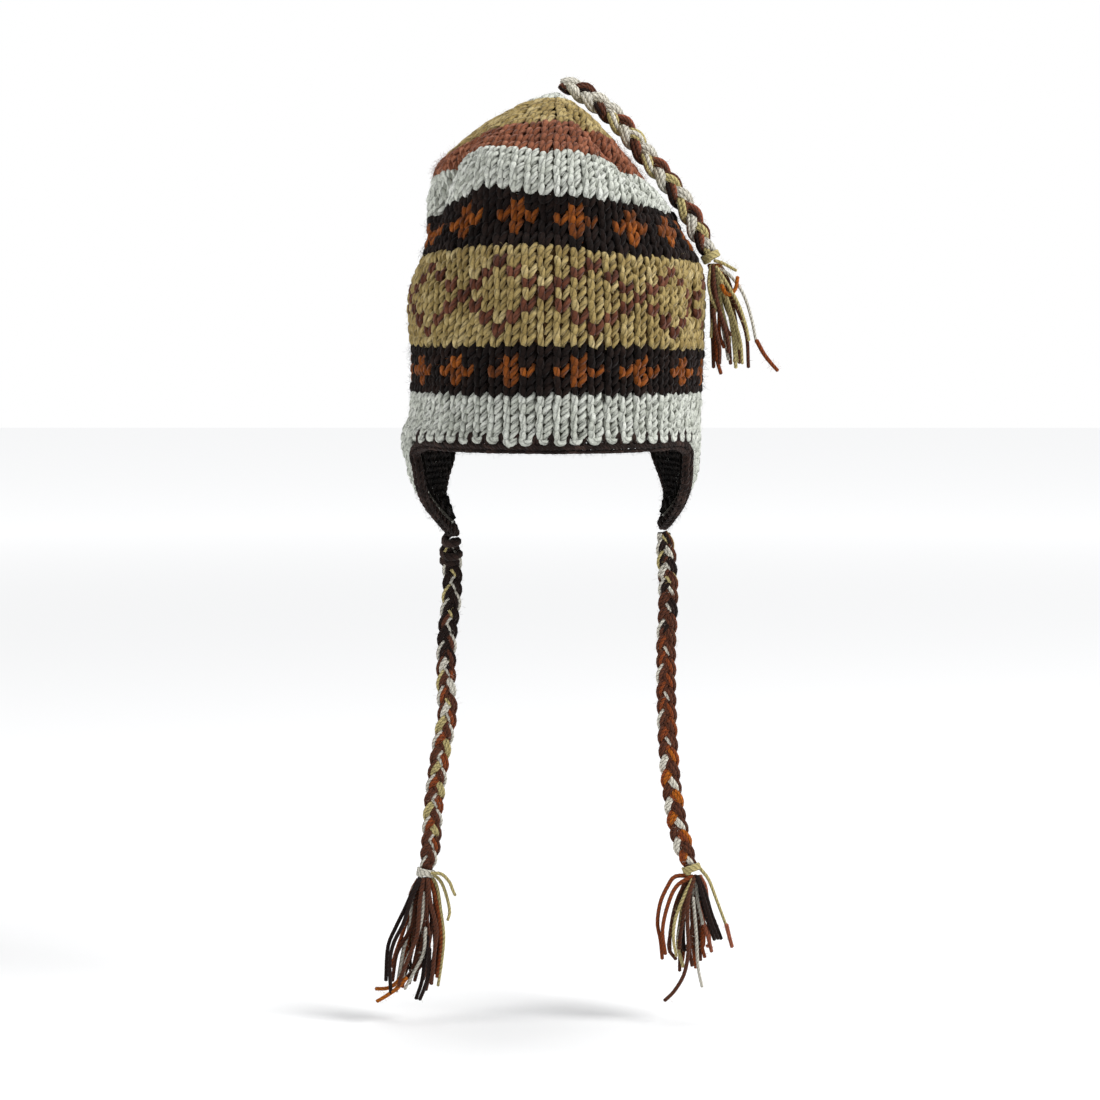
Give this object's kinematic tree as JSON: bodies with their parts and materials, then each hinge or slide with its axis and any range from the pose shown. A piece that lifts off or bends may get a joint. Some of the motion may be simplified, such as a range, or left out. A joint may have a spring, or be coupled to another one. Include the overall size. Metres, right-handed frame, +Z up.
{
  "type": "earflap knit hat",
  "caption": "Hand-knitted winter hat with patterned crown, ear flaps, crocheted edge, and plaited cords with tassels at each flap and at the tip.",
  "frame": {"origin": "centre of the brim opening, level with the lower side of the crocheted edge at the front, where a head holds the hat", "axes": "+Z up along the head, -Y to the wearer's front, so +X is on the right when the hat is seen from the front"},
  "size_m": [0.2299, 0.2123, 0.5632],
  "materials": {
    "crown_knit": "matte",
    "flap_knit": "matte",
    "flap_lining": "matte",
    "edging_yarn": "matte",
    "braid_yarn": "matte",
    "crown_braid_yarn": "matte",
    "tie_yarn": "matte",
    "tassel_yarn": "matte"
  },
  "bodies": {
    "root": {"crown": "crown_knit", "ear_flap_left": "flap_knit", "ear_flap_right": "flap_knit", "flap_lining_left": "flap_lining", "flap_lining_right": "flap_lining", "edging": "edging_yarn", "crown_braid": "crown_braid_yarn", "crown_tie": "tie_yarn", "crown_tassel": "tassel_yarn", "braid_left": "braid_yarn", "tie_left": "tie_yarn", "tassel_left": "tassel_yarn", "braid_right": "braid_yarn", "tie_right": "tie_yarn", "tassel_right": "tassel_yarn"}
  },
  "joints": []
}
